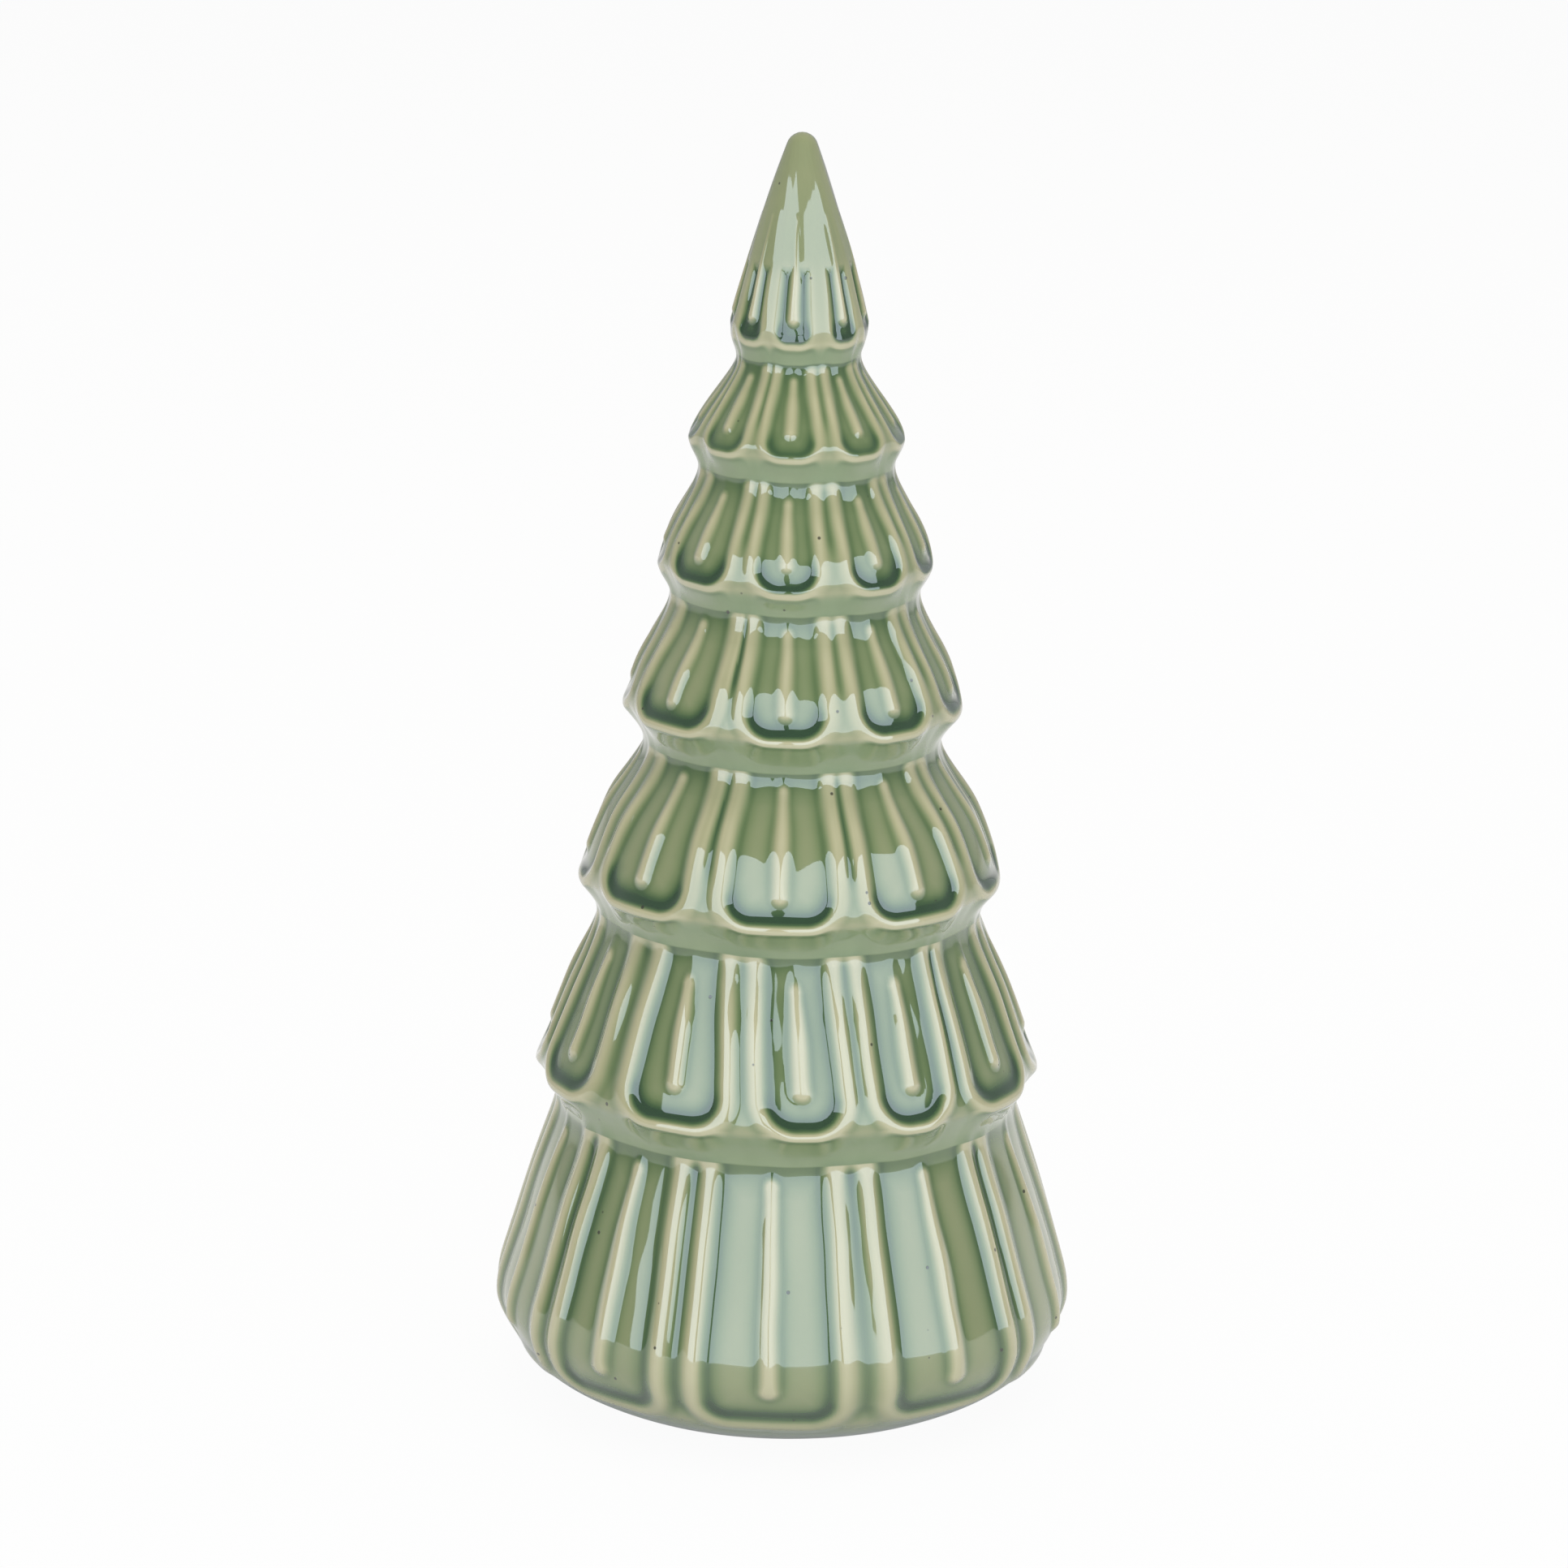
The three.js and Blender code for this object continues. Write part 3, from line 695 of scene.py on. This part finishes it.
def add_unwrap(mesh, grid, quads, upper, lower):
    """One upright map of the skin: turns across, distance along the profile up."""
    columns = grid.shape[1]
    drop = np.abs(np.diff(grid.mean(axis=1)[:, 2]))
    widening = np.abs(np.diff(np.hypot(grid[:, :, 0], grid[:, :, 1]).mean(axis=1)))
    down = np.concatenate([[0], np.cumsum(np.hypot(drop, widening))])
    height = 0.99 - 0.98 * down / down[-1]
    row, column = np.divmod(quads, columns)
    across = 0.01 + 0.98 * past_seam(column, columns) / columns
    corners = [np.stack([across, height[row]], axis=-1).reshape(-1, 2)]
    for fan, tip_height, ring_height in ((upper, 0.998, height[0]), (lower, 0.002, height[-1])):
        across = 0.01 + 0.98 * past_seam(fan[:, 1:] % columns, columns) / columns
        tip = np.stack([across.mean(axis=1), np.full(len(fan), tip_height)], 1)
        pair = np.stack([across, np.full_like(across, ring_height)], -1)
        corners.append(np.concatenate([tip[:, None], pair], axis=1).reshape(-1, 2))
    layer = mesh.uv_layers.new(name="OFBake")
    layer.data.foreach_set("uv", np.concatenate(corners).astype(np.float32).ravel())


def fitted(grid, box):
    """The grid moved up onto its bumpers and drawn in, if need be, to the solid's own box."""
    low, high = (np.array(corner) / MM for corner in box)
    grid = grid + [0, 0, low[2]]
    for axis in (0, 1):
        least, most = grid[..., axis].min(), grid[..., axis].max()
        grid[..., axis] *= min(1, low[axis] / least, high[axis] / most)
    return grid


# Materials

def srgb(*levels):
    """A colour given as 0 to 255 levels on screen, in linear light."""
    shares = [level / 255 for level in levels]
    return tuple(s / 12.92 if s <= 0.04045 else ((s + 0.055) / 1.055) ** 2.4 for s in shares) + (1.0,)


class Nodes:
    """A material's node tree, with short ways to add and join nodes."""

    def __init__(self, name):
        self.material = bpy.data.materials.new(name)
        self.material.use_nodes = True
        self.tree = self.material.node_tree
        self.shader = self.tree.nodes["Principled BSDF"]

    def add(self, kind, **settings):
        node = self.tree.nodes.new("ShaderNode" + kind)
        for key, value in settings.items():
            setattr(node, key, value)
        return node

    def join(self, source, target):
        self.tree.links.new(source, target)

    def attribute(self, name):
        return self.add("Attribute", attribute_name=name).outputs["Fac"]

    def math(self, operation, a, b=0.0, c=0.0):
        node = self.add("Math", operation=operation)
        for socket, value in zip(node.inputs, (a, b, c)):
            if isinstance(value, bpy.types.NodeSocket):
                self.join(value, socket)
            else:
                socket.default_value = value
        return node.outputs[0]

    def mix(self, factor, a, b):
        node = self.add("Mix", data_type="RGBA")
        for socket, value in zip((node.inputs[0], node.inputs[6], node.inputs[7]), (factor, a, b)):
            if isinstance(value, bpy.types.NodeSocket):
                self.join(value, socket)
            else:
                socket.default_value = value
        return node.outputs[2]

    def place(self, scale):
        """Position on the object, stretched per axis, for a texture's Vector."""
        coordinate = self.add("TexCoord").outputs["Object"]
        mapping = self.add("Mapping")
        mapping.inputs["Scale"].default_value = scale
        self.join(coordinate, mapping.inputs["Vector"])
        return mapping.outputs["Vector"]

    def noise(self, scale, detail=3.0, stretch=(1, 1, 1), roughness=0.5):
        node = self.add("TexNoise")
        self.join(self.place(stretch), node.inputs["Vector"])
        node.inputs["Scale"].default_value = scale
        node.inputs["Detail"].default_value = detail
        node.inputs["Roughness"].default_value = roughness
        return node.outputs["Fac"]

    def ramp(self, factor, stops):
        node = self.add("ValToRGB")
        elements = node.color_ramp.elements
        elements[0].position, elements[0].color = stops[0]
        elements[1].position, elements[1].color = stops[-1]
        for position, colour in stops[1:-1]:
            elements.new(position).color = colour
        self.join(factor, node.inputs["Fac"])
        return node.outputs["Color"]

    def bump(self, height, strength):
        """Relief finer than the mesh, 0.1 mm for a height of 1 at full strength."""
        node = self.add("Bump")
        node.inputs["Strength"].default_value = strength
        node.inputs["Distance"].default_value = 0.0001
        self.join(height, node.inputs["Height"])
        self.join(node.outputs["Normal"], self.shader.inputs["Normal"])

    def spots(self, cell, radius, share):
        """Small round spots where the surface passes through random points in space."""
        node = self.add("TexVoronoi", feature="F1")
        self.join(self.place((1, 1, 1)), node.inputs["Vector"])
        node.inputs["Scale"].default_value = 1 / cell
        near = self.math("SUBTRACT", 1.0, self.math("DIVIDE", node.outputs["Distance"], radius / cell))
        soft = self.math("MULTIPLY", near, 3.0)
        chosen = self.add("SeparateColor")
        self.join(node.outputs["Color"], chosen.inputs[0])
        kept = self.math("LESS_THAN", chosen.outputs[0], share)
        clipped = self.add("Clamp")
        self.join(self.math("MULTIPLY", soft, kept), clipped.inputs["Value"])
        return clipped.outputs[0]


def glaze_material():
    """Green glaze that breaks to cream where it is thin, with iron specks, on buff clay."""
    glaze = Nodes("green_glaze")
    drift = glaze.math("MULTIPLY", glaze.math("SUBTRACT", glaze.noise(90, 4.0, (1, 1, 0.35)), 0.5), 0.15)
    # Pooled glaze, and at each tier's top painted shade under the lip above, darken the glaze colour
    pooled_and_shaded = glaze.math("MULTIPLY", glaze.attribute("pool_and_shade"), 0.5)
    depth = glaze.math("MULTIPLY_ADD", glaze.attribute("thickness"), 0.95, 0.27)
    depth = glaze.math("ADD", depth, glaze.math("ADD", drift, pooled_and_shaded))
    colour = glaze.ramp(depth, [
        (0.00, srgb(186, 177, 140)),
        (0.12, srgb(168, 163, 123)),
        (0.27, srgb(140, 144, 103)),
        (0.42, srgb(118, 130, 87)),
        (0.58, srgb(95, 113, 70)),
        (0.78, srgb(64, 89, 52)),
        (1.00, srgb(40, 66, 40)),
    ])
    streaks = glaze.noise(160, 3.0, (1, 1, 0.15))
    band = glaze.mix(streaks, srgb(112, 130, 88), srgb(138, 151, 111))
    colour = glaze.mix(glaze.math("MULTIPLY", glaze.attribute("under"), 0.8), colour, band)
    speck = glaze.spots(cell=0.0062, radius=0.00042, share=0.75)
    colour = glaze.mix(glaze.math("MULTIPLY", speck, 0.85), colour, srgb(44, 40, 30))
    bare = glaze.attribute("bare")
    grit = glaze.noise(900, 4.0)
    clay = glaze.mix(grit, srgb(196, 178, 146), srgb(214, 199, 170))
    glaze.join(glaze.mix(bare, colour, clay), glaze.shader.inputs["Base Color"])
    glaze.join(glaze.math("MULTIPLY_ADD", bare, 0.7, 0.045), glaze.shader.inputs["Roughness"])
    dimples = glaze.math("MULTIPLY", glaze.noise(420, 2.0), 0.12)
    sand = glaze.math("MULTIPLY", glaze.math("MULTIPLY", grit, bare), 1.4)
    height = glaze.math("SUBTRACT", glaze.math("ADD", dimples, sand), glaze.math("MULTIPLY", speck, 0.6))
    glaze.bump(height, 0.35)
    glaze.shader.inputs["IOR"].default_value = 1.55
    glaze.shader.inputs["Coat Weight"].default_value = 1.0
    glaze.shader.inputs["Coat Roughness"].default_value = 0.02
    glaze.shader.inputs["Coat IOR"].default_value = 1.68
    return glaze.material


def rubber_material():
    """Frosted clear elastomer with a faint mottling."""
    rubber = Nodes("frosted_rubber")
    cloud = rubber.noise(500, 3.0)
    colour = rubber.mix(cloud, srgb(206, 208, 203), srgb(190, 193, 187))
    rubber.join(colour, rubber.shader.inputs["Base Color"])
    rubber.join(rubber.math("MULTIPLY_ADD", cloud, 0.15, 0.38), rubber.shader.inputs["Roughness"])
    rubber.bump(cloud, 0.2)
    rubber.shader.inputs["Subsurface Weight"].default_value = 0.2
    rubber.shader.inputs["Subsurface Radius"].default_value = (0.002, 0.002, 0.002)
    return rubber.material


def floor_material():
    """White to the camera, dimmer in the glaze's reflections, and still darkened by the shadow."""
    ground = Nodes("white_ground")
    ground.shader.inputs["Base Color"].default_value = (0.74, 0.74, 0.74, 1)
    ground.shader.inputs["Roughness"].default_value = 0.9
    ground.shader.inputs["Specular IOR Level"].default_value = 0.1
    white = ground.add("Emission")
    white.inputs["Strength"].default_value = 1.0
    paths = ground.add("LightPath")
    blend = ground.add("MixShader")
    mirrored = ground.math("MULTIPLY", paths.outputs["Is Glossy Ray"], 0.15)
    seen = ground.math("MAXIMUM", paths.outputs["Is Camera Ray"], mirrored)
    seen = ground.math("MAXIMUM", seen, paths.outputs["Is Transmission Ray"])
    ground.join(ground.math("MULTIPLY", seen, 0.95), blend.inputs[0])
    ground.join(ground.shader.outputs[0], blend.inputs[1])
    ground.join(white.outputs[0], blend.inputs[2])
    ground.join(blend.outputs[0], ground.tree.nodes["Material Output"].inputs["Surface"])
    return ground.material


# Objects

def add_object(name, mesh, material):
    thing = bpy.data.objects.new(name, mesh)
    bpy.context.scene.collection.objects.link(thing)
    mesh.materials.append(material)
    return thing


def add_body():
    grid, fields, hollow_top = body_arrays()
    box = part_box("ceramic_body")
    grid = fitted(grid, box)
    lift = box[0][2] / MM
    top = (0, 0, TIP_HEIGHT + lift)
    bottom = (0, 0, hollow_top + lift)
    mesh = mesh_from_grid("glazed_tree", grid, fields, top, bottom)
    body = add_object("glazed_tree", mesh, glaze_material())
    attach(body, "root")
    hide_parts("ceramic_body")


def dome_profile(radius, height):
    """Half outline of a stick-on bumper: flat glued face up, rounded edge, flat worn face down."""
    edge = 0.35
    turn = np.linspace(0, math.pi / 2, 6)
    arc = np.stack([radius - edge + edge * np.sin(turn), edge - edge * np.cos(turn)], 1)
    rim = np.array([(radius, height * 0.6), (radius - 0.05, height - 0.08), (radius - 0.14, height)])
    floor = np.array([(radius * share, 0) for share in (0.15, 0.4, 0.7)])
    cap = np.array([(radius * share, height) for share in (0.7, 0.4, 0.15)])
    return np.concatenate([floor, arc, rim, cap])


def add_bumper(node, material):
    low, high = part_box(node)
    radius = (high[0] - low[0]) / 2 / MM
    height = (high[2] - low[2]) / MM
    profile = dome_profile(radius, height)[::-1]
    angle = np.radians(np.linspace(0, 360, 48, endpoint=False))[None, :]
    grid = np.stack([profile[:, :1] * np.sin(angle), -profile[:, :1] * np.cos(angle),
                     profile[:, 1:] + 0 * angle], axis=-1)
    centre = (np.array(low) + np.array(high)) / 2 / MM
    grid += [centre[0], centre[1], 0]
    top = (centre[0], centre[1], height)
    bottom = (centre[0], centre[1], 0)
    mesh = mesh_from_grid("bumper_skin", grid, {}, top, bottom)
    bumper = add_object(node.replace("foot", "rubber"), mesh, material)
    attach(bumper, "root")
    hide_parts(node)


def add_floor():
    size = 6.0
    mesh = bpy.data.meshes.new("ground")
    corners = [(-size, -size, 0), (size, -size, 0), (size, size, 0), (-size, size, 0)]
    mesh.from_pydata(corners, [], [(0, 1, 2, 3)])
    add_object("ground", mesh, floor_material())


def add_softbox(name, azimuth, elevation, width, height, radiance, colour, mirrored=True, distance=1.5):
    """A softbox facing the tree, seen in the glaze only if mirrored. Its place and its size as seen
    from the tree are angles in degrees, with azimuth from the front towards +X."""
    middle = Vector((0, 0, 0.11))
    turn, rise = math.radians(azimuth), math.radians(elevation)
    level = math.cos(rise)
    direction = Vector((math.sin(turn) * level, -math.cos(turn) * level, math.sin(rise)))
    lamp = bpy.data.lights.new(name, "AREA")
    lamp.shape = "RECTANGLE"
    lamp.size = 2 * distance * math.tan(math.radians(width / 2))
    lamp.size_y = 2 * distance * math.tan(math.radians(height / 2))
    lamp.color = colour
    lamp.energy = radiance * math.pi * lamp.size * lamp.size_y
    thing = bpy.data.objects.new(name, lamp)
    thing.location = middle + direction * distance
    thing.rotation_euler = (-direction).to_track_quat("-Z", "Y").to_euler()
    thing.visible_glossy = mirrored
    bpy.context.scene.collection.objects.link(thing)


def add_world():
    """White to the camera; in light and reflections, a dim room that is brighter behind the tree."""
    world = bpy.data.worlds.new("studio")
    world.use_nodes = True
    nodes, links = world.node_tree.nodes, world.node_tree.links
    room, white = nodes["Background"], nodes.new("ShaderNodeBackground")
    room.inputs["Color"].default_value = (0.93, 0.97, 1.0, 1)
    white.inputs["Color"].default_value = (1, 1, 1, 1)
    direction = nodes.new("ShaderNodeSeparateXYZ")
    links.new(nodes.new("ShaderNodeTexCoord").outputs["Generated"], direction.inputs[0])
    level = nodes.new("ShaderNodeMapRange")
    level.interpolation_type = "SMOOTHSTEP"
    for socket, value in zip(("From Min", "From Max", "To Min", "To Max"), (-0.5, 0.9, 0.22, 0.42)):
        level.inputs[socket].default_value = value
    links.new(direction.outputs["Y"], level.inputs["Value"])
    links.new(level.outputs["Result"], room.inputs["Strength"])
    paths, seen, blend = (nodes.new("ShaderNode" + kind) for kind in ("LightPath", "Math", "MixShader"))
    seen.operation = "MAXIMUM"
    links.new(paths.outputs["Is Camera Ray"], seen.inputs[0])
    links.new(paths.outputs["Is Transmission Ray"], seen.inputs[1])
    links.new(seen.outputs[0], blend.inputs[0])
    links.new(room.outputs[0], blend.inputs[1])
    links.new(white.outputs[0], blend.inputs[2])
    links.new(blend.outputs[0], nodes["World Output"].inputs["Surface"])
    bpy.context.scene.world = world


def add_camera():
    camera = bpy.data.cameras.new("camera")
    camera.sensor_width = 36.0
    camera.lens = CAMERA_LENS
    camera.clip_start = 0.05
    thing = bpy.data.objects.new("camera", camera)
    thing.location = CAMERA_PLACE
    tilt = Euler((math.radians(90 - CAMERA_DIP), 0, 0)).to_matrix()
    roll = Euler((0, 0, math.radians(CAMERA_ROLL))).to_matrix()
    thing.rotation_euler = (tilt @ roll).to_euler()
    bpy.context.scene.collection.objects.link(thing)
    bpy.context.scene.camera = thing


bpy.context.scene.view_settings.view_transform = "Standard"
add_camera()
add_world()
add_softbox("left_window", azimuth=-35.5, elevation=12, width=49, height=36,
            radiance=WINDOW_RADIANCE, colour=WINDOW_COLOUR)
add_softbox("right_window", azimuth=35, elevation=13, width=72, height=34,
            radiance=WINDOW_RADIANCE, colour=WINDOW_COLOUR)
add_softbox("ceiling", azimuth=0, elevation=90, width=80, height=80,
            radiance=1.45, colour=(1.0, 0.95, 0.85), mirrored=False)
add_floor()
add_body()
rubber = rubber_material()
for bumper_node in sorted(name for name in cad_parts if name.startswith("foot_bumper")):
    add_bumper(bumper_node, rubber)
